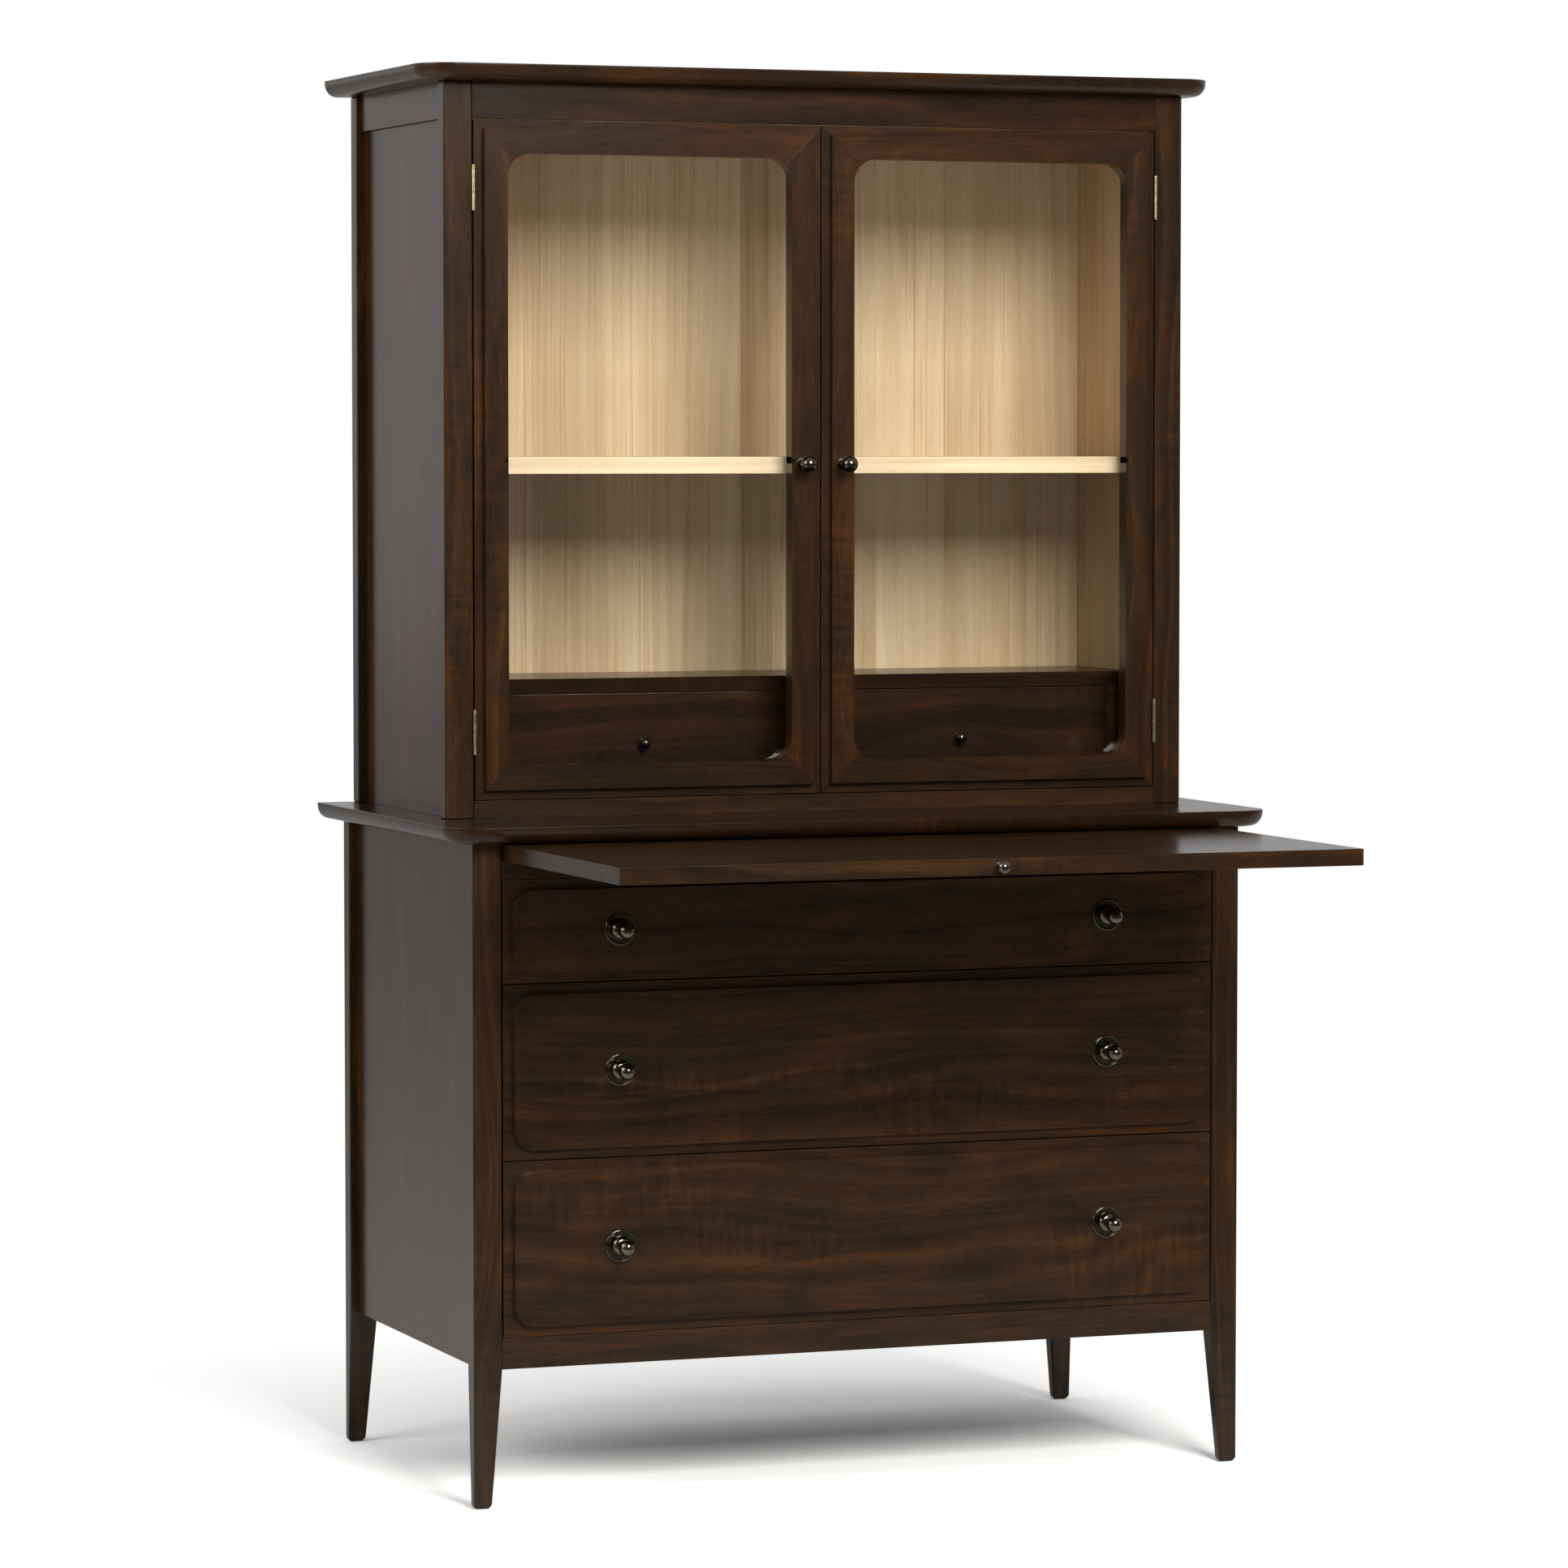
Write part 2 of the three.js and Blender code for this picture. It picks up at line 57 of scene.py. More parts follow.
# The camera, fitted to the photograph
CAMERA_PLACE = (-2.8233, -7.3054, 1.3462)
CAMERA_YAW = math.radians(20.4988)
CAMERA_PITCH = math.radians(-3.2136)
CAMERA_LENS = 139.205

# Arris roundings
SOFT_ARRIS = 2.2 * MM
FINE_ARRIS = 0.8 * MM
CRISP_ARRIS = 0.4 * MM
BEVEL_STEPS = 3
SHARP_ANGLE = math.radians(35)

# Joinery
HAIRLINE = 0.06 * MM
DRAWER_WALL = 12 * MM
DRAWER_BOTTOM = 8 * MM
SMALL_WALL = 9 * MM
SMALL_BOTTOM = 6 * MM
SMALL_FRONT = 16 * MM
TAIL_PITCH = 34 * MM
TAIL_SLOPE = 1 / 7
LINING = 4 * MM
PIN_HOLE_RADIUS = 2.5 * MM
PIN_HOLE_DEPTH = 3 * MM
PIN_HOLE_PITCH = 35.9 * MM
PIN_HOLE_ROWS = (0.4655, 0.190)
PIN_HOLE_LOW = 1.2459
PIN_HOLES = 5
BEAD = 5 * MM
SMALL_SIDE_GAP = 1 * MM
SMALL_BOX_DROP = 17 * MM
HINGE_ARRIS = 0.1 * MM

# Meshes
MERGE_DISTANCE = 0.01 * MM
FLAT_ANGLE = math.radians(0.5)
SMOOTH_ANGLE = math.radians(50)
TURNED_SIDES = 48

# Levels of the studio. Mirrored and transmitted rays see it darker towards the front
FRONT_GLOSS = 0.1
BACK_GLOSS = 0.6
FILL_LEVEL = 0.4
FLOOR_HALF = 30
FLOOR_LEVELS = (0.8, 1.55)
FLOOR_FADE = (0.7, 1.45)

# Tints, those of the doors for left stile, right stile, bottom rail and top rail
PANEL_TINT = (1.25, 0.98, 0.75)
DOOR_TINTS = [(1.1, 1.0, 0.92), (1.05, 0.98, 0.95), (0.95, 0.95, 0.95), (1.15, 1.0, 0.9)]
PLAIN_TINT = (1, 1, 1)
# Painted shade: a darker tint for the maple linings of the hutch sides
SHADED_LINING_TINT = (0.86, 0.82, 0.76)
# Painted shade: a darker tint for the small drawer fronts deep inside the hutch
SHADED_SMALL_FRONT_TINT = (0.78, 0.7, 0.62)
WALNUT_SPECULAR = 0.28


def add_camera():
    data = bpy.data.cameras.new("camera")
    data.lens = CAMERA_LENS
    data.sensor_width = 36
    data.clip_end = 100
    camera = bpy.data.objects.new("camera", data)
    camera.location = CAMERA_PLACE
    camera.rotation_euler = (math.pi / 2 + CAMERA_PITCH, 0, -CAMERA_YAW)
    bpy.context.scene.collection.objects.link(camera)
    bpy.context.scene.camera = camera


def add_area_lamp(name, target, azimuth, elevation, distance, size, power, colour):
    """An area lamp that shines on target from an azimuth counted from the front to the right."""
    away = Vector((
        math.sin(azimuth) * math.cos(elevation),
        -math.cos(azimuth) * math.cos(elevation),
        math.sin(elevation),
    ))
    data = bpy.data.lights.new(name, "AREA")
    data.shape = "RECTANGLE"
    data.size, data.size_y = size
    data.energy = power
    data.color = colour
    lamp = bpy.data.objects.new(name, data)
    lamp.location = Vector(target) + away * distance
    lamp.rotation_euler = away.to_track_quat("Z", "Y").to_euler()
    bpy.context.scene.collection.objects.link(lamp)


def link(tree, source, target):
    tree.links.new(source, target)


def node(tree, kind, **values):
    """A shader node; in_3=value sets its fourth input, and the rest are its settings."""
    made = tree.nodes.new(kind)
    for key, value in values.items():
        if key.startswith("in_"):
            made.inputs[int(key[3:])].default_value = value
        else:
            setattr(made, key, value)
    return made


def fill_socket(tree, socket, value):
    if isinstance(value, bpy.types.NodeSocket):
        link(tree, value, socket)
    elif isinstance(value, tuple) and len(socket.default_value) == 4:
        socket.default_value = (*value, 1)
    else:
        socket.default_value = value


def maths(tree, operation, *values):
    made = node(tree, "ShaderNodeMath", operation=operation)
    for socket, value in zip(made.inputs, values):
        fill_socket(tree, socket, value)
    return made.outputs[0]


def vector_maths(tree, operation, *values):
    made = node(tree, "ShaderNodeVectorMath", operation=operation)
    for socket, value in zip(made.inputs, values):
        fill_socket(tree, socket, value)
    return made.outputs["Value" if operation == "LENGTH" else "Vector"]


def mapped(tree, value, low, high, start=0.0, end=1.0):
    made = node(tree, "ShaderNodeMapRange", in_1=start, in_2=end, in_3=low, in_4=high)
    link(tree, value, made.inputs[0])
    return made.outputs[0]


def ramp(tree, factor, stops):
    made = node(tree, "ShaderNodeValToRGB")
    elements = made.color_ramp.elements
    while len(elements) < len(stops):
        elements.new(0.5)
    for element, (place, colour) in zip(elements, stops):
        element.position = place
        element.color = (*colour, 1)
    link(tree, factor, made.inputs[0])
    return made.outputs[0]


def blend(tree, kind, factor, first, second):
    made = node(tree, "ShaderNodeMix", data_type="RGBA", blend_type=kind)
    for socket, value in zip((made.inputs[0], *made.inputs[6:8]), (factor, first, second)):
        fill_socket(tree, socket, value)
    return made.outputs[2]


def noise(tree, vector, stretch, detail=3.0, roughness=0.55, distortion=0.0):
    """Noise with a number of features per metre along each axis."""
    made = node(tree, "ShaderNodeTexNoise")
    made.inputs["Scale"].default_value = 1.0
    made.inputs["Detail"].default_value = detail
    made.inputs["Roughness"].default_value = roughness
    made.inputs["Distortion"].default_value = distortion
    link(tree, vector_maths(tree, "MULTIPLY", vector, stretch), made.inputs["Vector"])
    return made.outputs[0]


def noise_colour(tree, vector, stretch, detail):
    made = node(tree, "ShaderNodeTexNoise")
    made.inputs["Scale"].default_value = 1.0
    made.inputs["Detail"].default_value = detail
    link(tree, vector_maths(tree, "MULTIPLY", vector, stretch), made.inputs["Vector"])
    return made.outputs["Color"]


def weighted(tree, *terms):
    """One half plus each factor's distance from one half times its weight."""
    total = 0.5
    for factor, weight in terms:
        share = maths(tree, "MULTIPLY", maths(tree, "SUBTRACT", factor, 0.5), weight)
        total = maths(tree, "ADD", share, total)
    return total


def rings(tree, vector, pith, wander, stretch, count, detail=3.0):
    """Growth rings round a pith that lies along the grain and wanders with a slow noise."""
    colour = noise_colour(tree, vector, stretch, 2.0)
    slow = vector_maths(tree, "SUBTRACT", colour, (0.5, 0.5, 0.5))
    moved = vector_maths(tree, "MULTIPLY_ADD", slow, (0.0, wander, wander), vector)
    across = vector_maths(tree, "MULTIPLY_ADD", moved, (0.0, 1.0, 1.0), (0.0, -pith[0], -pith[1]))
    lines = node(tree, "ShaderNodeTexNoise", noise_dimensions="1D")
    lines.inputs["Scale"].default_value = count
    lines.inputs["Detail"].default_value = detail
    lines.inputs["Roughness"].default_value = 0.62
    link(tree, vector_maths(tree, "LENGTH", across), lines.inputs["W"])
    return lines.outputs[0]


def grain_group(name, build):
    """A node group with a Vector along the grain in, and Color, Roughness and Height out."""
    tree = bpy.data.node_groups.new(name, "ShaderNodeTree")
    tree.interface.new_socket("Vector", in_out="INPUT", socket_type="NodeSocketVector")
    for label, kind in (("Color", "NodeSocketColor"), ("Roughness", "NodeSocketFloat"),
                        ("Height", "NodeSocketFloat")):
        tree.interface.new_socket(label, in_out="OUTPUT", socket_type=kind)
    start = tree.nodes.new("NodeGroupInput")
    end = tree.nodes.new("NodeGroupOutput")
    for socket, value in zip(end.inputs, build(tree, start.outputs[0])):
        link(tree, value, socket)
    return tree


def walnut_grain(tree, vector):
    """Dark walnut: soft growth bands, warm clouds, curly figure in places partly as painted sheen,
    fine fibres and pores.
    """
    bands = rings(tree, vector, (0.03, 0.085), 0.15, (1.5, 5.0, 5.0), 36.0, 5.0)
    clouds = noise(tree, vector, (6.0, 17.0, 17.0), 3.0, 0.55, 0.8)
    fibres = noise(tree, vector, (24.0, 420.0, 420.0), 3.0, 0.62)
    streaks = noise(tree, vector, (7.0, 130.0, 130.0), 2.0, 0.55)
    pores = noise(tree, vector, (60.0, 1700.0, 1700.0), 2.0, 0.5)
    # Curly figure in places, drawn into the colour partly as painted sheen mottling
    curl_sheen = noise(tree, vector, (95.0, 14.0, 14.0), 2.0, 0.5, 0.5)
    zone = mapped(tree, noise(tree, vector, (3.0, 8.0, 8.0), 1.0), 0.0, 0.5, 0.52, 0.68)
    curl_sheen_ripple = maths(tree, "MULTIPLY", maths(tree, "SUBTRACT", curl_sheen, 0.5), zone)
    figure = weighted(tree, (bands, 0.75), (clouds, 0.42), (fibres, 0.22), (streaks, 0.12))
    figure = maths(tree, "ADD", figure, curl_sheen_ripple)
    base = ramp(tree, figure, [
        (0.28, (0.0150, 0.0080, 0.0042)),
        (0.44, (0.0235, 0.0121, 0.0054)),
        (0.56, (0.0325, 0.0160, 0.0064)),
        (0.76, (0.0560, 0.0262, 0.0092)),
    ])
    warm = ramp(tree, clouds, [(0.38, (0.9, 0.98, 1.05)), (0.62, (1.14, 1.0, 0.86))])
    base = blend(tree, "MULTIPLY", 1.0, base, warm)
    shade = ramp(tree, pores, [(0.36, (0.5, 0.45, 0.42)), (0.46, (1.0, 1.0, 1.0))])
    colour = blend(tree, "MULTIPLY", 0.6, base, shade)
    height = weighted(tree, (pores, 0.6), (fibres, 0.4))
    return colour, mapped(tree, fibres, 0.15, 0.25), height


def maple_grain(tree, vector):
    """Pale maple: faint growth bands, long thin brown lines, fine fibres and flecks."""
    bands = rings(tree, vector, (0.02, 0.3), 0.05, (0.9, 4.0, 4.0), 120.0)
    fibres = noise(tree, vector, (6.0, 520.0, 520.0), 3.0, 0.62)
    clouds = noise(tree, vector, (2.0, 16.0, 16.0), 2.0)
    thin = noise(tree, vector, (1.6, 300.0, 300.0), 1.0)
    flecks = noise(tree, vector, (110.0, 900.0, 900.0), 1.0)
    figure = weighted(tree, (bands, 0.3), (fibres, 0.24), (clouds, 0.5))
    base = ramp(tree, figure, [
        (0.30, (0.47, 0.315, 0.165)),
        (0.46, (0.60, 0.45, 0.265)),
        (0.58, (0.68, 0.535, 0.34)),
        (0.74, (0.76, 0.62, 0.42)),
    ])
    lines = ramp(tree, thin, [(0.31, (0.76, 0.56, 0.42)), (0.37, (1.0, 1.0, 1.0))])
    base = blend(tree, "MULTIPLY", 0.6, base, lines)
    shade = ramp(tree, flecks, [(0.28, (0.8, 0.74, 0.68)), (0.40, (1.0, 1.0, 1.0))])
    colour = blend(tree, "MULTIPLY", 0.5, base, shade)
    return colour, mapped(tree, fibres, 0.42, 0.55), fibres


GRAINS = {
    "walnut": grain_group("walnut_grain", walnut_grain),
    "maple": grain_group("maple_grain", maple_grain),
}
GRAIN_ORDER = {"X": (0, 1, 2), "Y": (1, 0, 2), "Z": (2, 0, 1)}


def glued(tree, vector, split, axis, leaf, start):
    """Boards glued side by side: each leaf's width comes from another place of the log.
    Gives the moved vector and a tone for each board."""
    across = maths(tree, "SUBTRACT", split[axis], start)
    number = maths(tree, "FLOOR", maths(tree, "DIVIDE", across, leaf))
    shift = node(tree, "ShaderNodeCombineXYZ")
    link(tree, maths(tree, "MULTIPLY", number, 3.3), shift.inputs[0])
    link(tree, maths(tree, "MULTIPLY", number, -0.31 * leaf), shift.inputs[1])
    tone = node(tree, "ShaderNodeTexWhiteNoise", noise_dimensions="1D")
    link(tree, number, tone.inputs["W"])
    return vector_maths(tree, "ADD", vector, shift.outputs[0]), tone.outputs["Value"]


def wood(name, kind, axis, seed, tint=PLAIN_TINT, boards=None, specular=WALNUT_SPECULAR):
    """Wood with its grain along an axis, cut from another place of the log for each seed.
    Boards are given by the axis across them, their width and where the first one starts."""
    material = bpy.data.materials.new(name)
    material.use_nodes = True
    tree = material.node_tree
    shader = tree.nodes["Principled BSDF"]
    shader.inputs["Specular IOR Level"].default_value = specular
    place = node(tree, "ShaderNodeTexCoord")
    split = node(tree, "ShaderNodeSeparateXYZ")
    link(tree, place.outputs["Object"], split.inputs[0])
    along = node(tree, "ShaderNodeCombineXYZ")
    for target, source in enumerate(GRAIN_ORDER[axis]):
        link(tree, split.outputs[source], along.inputs[target])
    offset = (1.7 * seed, 0.037 * math.sin(2.4 * seed), 0.05 * math.cos(1.9 * seed))
    vector = vector_maths(tree, "ADD", along.outputs[0], offset)
    tone = None
    if boards:
        vector, tone = glued(tree, vector, split.outputs, *boards)
    grain = node(tree, "ShaderNodeGroup", node_tree=GRAINS[kind])
    link(tree, vector, grain.inputs[0])
    colour = blend(tree, "MULTIPLY", 1.0, grain.outputs["Color"], tint)
    if tone:
        shades = ramp(tree, tone, [(0.0, (0.82, 0.78, 0.72)), (1.0, (1.06, 1.06, 1.06))])
        colour = blend(tree, "MULTIPLY", 1.0, colour, shades)
    link(tree, colour, shader.inputs["Base Color"])
    link(tree, grain.outputs["Roughness"], shader.inputs["Roughness"])
    add_bump(tree, shader, grain.outputs["Height"], 0.22, 0.12 * MM)
    return material


def add_bump(tree, shader, height, strength, distance):
    bump = node(tree, "ShaderNodeBump")
    bump.inputs["Strength"].default_value = strength
    bump.inputs["Distance"].default_value = distance
    link(tree, height, bump.inputs["Height"])
    link(tree, bump.outputs[0], shader.inputs["Normal"])


def metal(name, colour, dull, low, high):
    """Polished metal with faint rubbing marks, duller where handled."""
    material = bpy.data.materials.new(name)
    material.use_nodes = True
    tree = material.node_tree
    shader = tree.nodes["Principled BSDF"]
    shader.inputs["Metallic"].default_value = 1.0
    place = node(tree, "ShaderNodeTexCoord")
    marks = noise(tree, place.outputs["Object"], (160.0, 160.0, 160.0), 5.0, 0.65)
    link(tree, ramp(tree, marks, [(0.35, dull), (0.6, colour)]), shader.inputs["Base Color"])
    link(tree, mapped(tree, marks, low, high), shader.inputs["Roughness"])
    add_bump(tree, shader, marks, 0.05, 0.05 * MM)
    return material


def clear_glass():
    """Float glass, clear to shadow, diffuse and mirrored rays."""
    material = bpy.data.materials.new("clear_glass")
    material.use_nodes = True
    tree = material.node_tree
    shader = tree.nodes["Principled BSDF"]
    shader.inputs["Transmission Weight"].default_value = 1.0
    shader.inputs["IOR"].default_value = 1.45
    shader.inputs["Specular IOR Level"].default_value = 0.12
    place = node(tree, "ShaderNodeTexCoord")
    waves = noise(tree, place.outputs["Object"], (2.0, 2.0, 2.0), 2.0)
    tint = ramp(tree, waves, [(0.3, (0.975, 0.99, 0.98)), (0.7, (0.99, 1.0, 0.995))])
    link(tree, tint, shader.inputs["Base Color"])
    link(tree, mapped(tree, waves, 0.0, 0.02), shader.inputs["Roughness"])
    through = node(tree, "ShaderNodeBsdfTransparent")
    rays = node(tree, "ShaderNodeLightPath").outputs
    passing = maths(tree, "MAXIMUM", rays["Is Shadow Ray"], rays["Is Diffuse Ray"])
    passing = maths(tree, "MAXIMUM", passing, rays["Is Glossy Ray"])
    mixed = node(tree, "ShaderNodeMixShader")
    for socket, value in zip(mixed.inputs, (passing, shader.outputs[0], through.outputs[0])):
        link(tree, value, socket)
    link(tree, mixed.outputs[0], tree.nodes["Material Output"].inputs["Surface"])
    return material


def add_world():
    """A studio that is white to the camera and lights the object at FILL_LEVEL. Mirrored and
    transmitted rays see it dark towards the front."""
    world = bpy.data.worlds.new("studio")
    world.use_nodes = True
    tree = world.node_tree
    tree.nodes.clear()
    rays = node(tree, "ShaderNodeLightPath").outputs
    place = node(tree, "ShaderNodeTexCoord")
    split = node(tree, "ShaderNodeSeparateXYZ")
    link(tree, place.outputs["Generated"], split.inputs[0])
    behind = mapped(tree, split.outputs["Y"], 0.0, 1.0, -0.75, -0.1)
    gloss = mapped(tree, behind, FRONT_GLOSS, BACK_GLOSS)
    mirrored = maths(tree, "MULTIPLY", rays["Is Glossy Ray"], gloss)
    through = maths(tree, "MULTIPLY", rays["Is Transmission Ray"], behind)
    indirect = maths(tree, "MAXIMUM", mirrored, through)
    shown = maths(tree, "MAXIMUM", rays["Is Camera Ray"], indirect)
    sharp = maths(tree, "MAXIMUM", rays["Is Glossy Ray"], rays["Is Transmission Ray"])
    viewed = maths(tree, "MAXIMUM", rays["Is Camera Ray"], sharp)
    lighting = maths(tree, "SUBTRACT", 1.0, viewed)
    strength = maths(tree, "MULTIPLY_ADD", lighting, FILL_LEVEL, shown)
    background = node(tree, "ShaderNodeBackground", in_0=(1, 1, 1, 1))
    link(tree, strength, background.inputs["Strength"])
    output = node(tree, "ShaderNodeOutputWorld")
    link(tree, background.outputs[0], output.inputs["Surface"])
    bpy.context.scene.world = world


def add_floor():
    """A white floor that keeps the desk's soft shadow and fades into the backdrop."""
    mesh = bpy.data.meshes.new("floor")
    half = FLOOR_HALF
    corners = [(-half, -half, 0), (half, -half, 0), (half, half, 0), (-half, half, 0)]
    mesh.from_pydata(corners, [], [(0, 1, 2, 3)])
    floor = bpy.data.objects.new("floor", mesh)
    bpy.context.scene.collection.objects.link(floor)
    material = bpy.data.materials.new("floor_white")
    material.use_nodes = True
    tree = material.node_tree
    shader = tree.nodes["Principled BSDF"]
    shader.inputs["Roughness"].default_value = 1.0
    shader.inputs["Specular IOR Level"].default_value = 0.0
    rays = node(tree, "ShaderNodeLightPath").outputs
    place = node(tree, "ShaderNodeTexCoord")
    split = node(tree, "ShaderNodeSeparateXYZ")
    link(tree, place.outputs["Object"], split.inputs[0])
    behind = mapped(tree, split.outputs["Y"], 0.0, 1.0, -1.6, -0.4)
    through = maths(tree, "MULTIPLY", rays["Is Transmission Ray"], behind)
    seen = maths(tree, "MAXIMUM", rays["Is Camera Ray"], through)
    level = mapped(tree, seen, *FLOOR_LEVELS)
    sharp = maths(tree, "MAXIMUM", rays["Is Glossy Ray"], rays["Is Transmission Ray"])
    dimming = maths(tree, "MULTIPLY", sharp, mapped(tree, behind, 1.0 - FRONT_GLOSS, 0.0))
    level = maths(tree, "MULTIPLY", level, maths(tree, "SUBTRACT", 1.0, dimming))
    grey = node(tree, "ShaderNodeCombineXYZ")
    for axis in range(3):
        link(tree, level, grey.inputs[axis])
    link(tree, grey.outputs[0], shader.inputs["Base Color"])
    white = node(tree, "ShaderNodeEmission", in_0=(1, 1, 1, 1), in_1=1.0)
    distance = vector_maths(tree, "LENGTH", place.outputs["Object"])
    fade = mapped(tree, distance, 0.0, 1.0, *FLOOR_FADE)
    mixed = node(tree, "ShaderNodeMixShader")
    sources = (maths(tree, "MULTIPLY", fade, seen), shader.outputs[0], white.outputs[0])
    for socket, value in zip(mixed.inputs, sources):
        link(tree, value, socket)
    link(tree, mixed.outputs[0], tree.nodes["Material Output"].inputs["Surface"])
    mesh.materials.append(material)


def merge_flat_faces(shape):
    bmesh.ops.dissolve_limit(
        shape, angle_limit=FLAT_ANGLE, verts=shape.verts, edges=shape.edges,
    )


def cad_copy(name):
    """The CAD node's shape as an editable mesh with its flat faces made whole."""
    shape = bmesh.new()
    shape.from_mesh(frame["nodes"][name].data)
    bmesh.ops.remove_doubles(shape, verts=shape.verts, dist=MERGE_DISTANCE)
    merge_flat_faces(shape)
    return shape


def round_arrises(shape, width, steps=BEVEL_STEPS):
    edges = [edge for edge in shape.edges if edge.calc_face_angle(0) > SHARP_ANGLE]
    bmesh.ops.bevel(
        shape, geom=edges, offset=width, segments=steps, profile=0.5,
        affect="EDGES", clamp_overlap=True,
    )


def loose_object(name, shape):
    mesh = bpy.data.meshes.new(name)
    shape.to_mesh(mesh)
    shape.free()
    made = bpy.data.objects.new(name, mesh)
    bpy.context.scene.collection.objects.link(made)
    return made


def make_piece(name, shape, material, body, slot, *replaced):
    piece = loose_object(name, shape)
    mesh = piece.data
    mesh.polygons.foreach_set("use_smooth", [True] * len(mesh.polygons))
    mesh.set_sharp_from_angle(angle=SMOOTH_ANGLE)
    mesh.materials.append(material)
    even = piece.modifiers.new("even_faces", "WEIGHTED_NORMAL")
    even.keep_sharp = True
    even.weight = 100
    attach(piece, body)
    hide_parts(*replaced)
    return piece


def cut_away(shape, cutter):
    """The shape less the cutter, both closed meshes."""
    target = loose_object("cut_target", shape)
    tool = loose_object("cut_tool", cutter)
    boolean = target.modifiers.new("cut", "BOOLEAN")
    boolean.operation = "DIFFERENCE"
    boolean.solver = "EXACT"
    boolean.object = tool
    evaluated = target.evaluated_get(bpy.context.evaluated_depsgraph_get())
    result = bmesh.new()
    result.from_mesh(evaluated.to_mesh())
    for item in (target, tool):
        mesh = item.data
        bpy.data.objects.remove(item)
        bpy.data.meshes.remove(mesh)
    merge_flat_faces(result)
    return result


def extrude(outline, axis, start, end, shape=None):
    """A prism from an outline of the other two axes' places, in their order."""
    shape = shape or bmesh.new()
    rows = []
    for level in (start, end):
        row = []
        for place in outline:
            point = list(place)
            point.insert(axis, level)
            row.append(shape.verts.new(point))
        rows.append(row)
    faces = [shape.faces.new(rows[0]), shape.faces.new(rows[1])]
    for index in range(len(outline)):
        after = (index + 1) % len(outline)
        corners = [rows[0][index], rows[0][after], rows[1][after], rows[1][index]]
        faces.append(shape.faces.new(corners))
    bmesh.ops.recalc_face_normals(shape, faces=faces)
    return shape


def block(low, high):
    """A cuboid between two corners."""
    outline = [(low[1], low[2]), (high[1], low[2]), (high[1], high[2]), (low[1], high[2])]
    return extrude(outline, 0, low[0], high[0])


def dress_board(name, kind, axis, seed, arris, tint=PLAIN_TINT, boards=None,
                specular=WALNUT_SPECULAR):
    """A wooden CAD node with softened arrises and its own grain."""
    shape = cad_copy(name)
    round_arrises(shape, arris)
    material = wood(f"{kind}_{name}", kind, axis, seed, tint, boards, specular)
    make_piece(f"{name}_wood", shape, material, body_of[name], kind, name)


def turned(profile, sides=TURNED_SIDES):
    """A solid turned about the Y axis, from points of radius and place along -Y."""
    shape = bmesh.new()
    rows = []
    for radius, along in profile:
        count = sides if radius else 1
        turns = [2 * math.pi * step / sides for step in range(count)]
        rows.append([
            shape.verts.new((radius * math.cos(turn), -along, radius * math.sin(turn)))
            for turn in turns
        ])
    for lower, upper in zip(rows, rows[1:]):
        for step in range(sides):
            corners = [
                lower[step % len(lower)], lower[(step + 1) % len(lower)],
                upper[(step + 1) % len(upper)], upper[step % len(upper)],
            ]
            corners = list(dict.fromkeys(corners))
            if len(corners) > 2:
                shape.faces.new(corners)
    bmesh.ops.recalc_face_normals(shape, faces=shape.faces)
    return shape


def arc(centre, radius, start, end, steps):
    """Points of an ellipse from one angle to another, both in degrees."""
    points = []
    for step in range(steps + 1):
        turn = math.radians(start + (end - start) * step / steps)
        points.append((
            centre[0] + radius[0] * math.cos(turn),
            centre[1] + radius[1] * math.sin(turn),
        ))
    return points


def knob_profile(plate, plate_rise, rim, dome, dome_rise, neck, ball, ball_centre):
    """Radius and height, in millimetres, from the seat to the tip of the ball."""
    points = [(0, 0), (plate, 0)]
    points += arc((plate - rim / 2, plate_rise - rim / 2), (rim / 2, rim / 2), 0, 180, 8)
    points += [(plate - rim, plate_rise - 0.7 * rim)]
    points += [(dome + 0.35 * rim, plate_rise - 0.7 * rim)]
    points += arc((neck, plate_rise - 0.2), (dome - neck, dome_rise - plate_rise), 0, 88, 10)
    start = -math.degrees(math.acos((neck - 0.4) / ball))
    points += arc((0, ball_centre), (ball, ball), start, 84, 22)
    points += [(0, ball_centre + ball)]
    return [(radius * MM, along * MM) for radius, along in points]


LARGE_KNOB = knob_profile(20.5, 3.0, 2.4, 13.2, 11.5, 6.2, 11.0, 27.0)
DOOR_KNOB = knob_profile(8.5, 2.5, 1.0, 6.4, 7.0, 4.4, 11.0, 23.0)
SLIDE_KNOB = knob_profile(6.0, 1.5, 0.7, 4.4, 4.0, 3.4, 8.0, 12.0)
SMALL_KNOB = knob_profile(6.0, 1.5, 0.7, 4.4, 4.0, 3.4, 7.5, 11.5)


def dress_knob(name, profile, material):
    low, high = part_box(name)
    seat = ((low[0] + high[0]) / 2, high[1], (low[2] + high[2]) / 2)
    shape = turned(profile)
    bmesh.ops.translate(shape, verts=shape.verts, vec=seat)
    make_piece(f"{name}_turned", shape, material, body_of[name], "dark_nickel", name)


def halved(shape, point, outward):
    """Cuts off what lies beyond the plane and closes the cut."""
    geometry = shape.verts[:] + shape.edges[:] + shape.faces[:]
    result = bmesh.ops.bisect_plane(
        shape, geom=geometry, plane_co=point, plane_no=outward, clear_outer=True, dist=1e-7,
    )
    edges = [item for item in result["geom_cut"] if isinstance(item, bmesh.types.BMEdge)]
    bmesh.ops.holes_fill(shape, edges=edges)
    bmesh.ops.recalc_face_normals(shape, faces=shape.faces)
    return shape


def part_of(name, *planes):
    """The CAD node's shape on the near side of each plane, less half a hairline."""
    shape = cad_copy(name)
    for point, outward in planes:
        direction = Vector(outward).normalized()
        halved(shape, Vector(point) - direction * HAIRLINE, direction)
    return shape


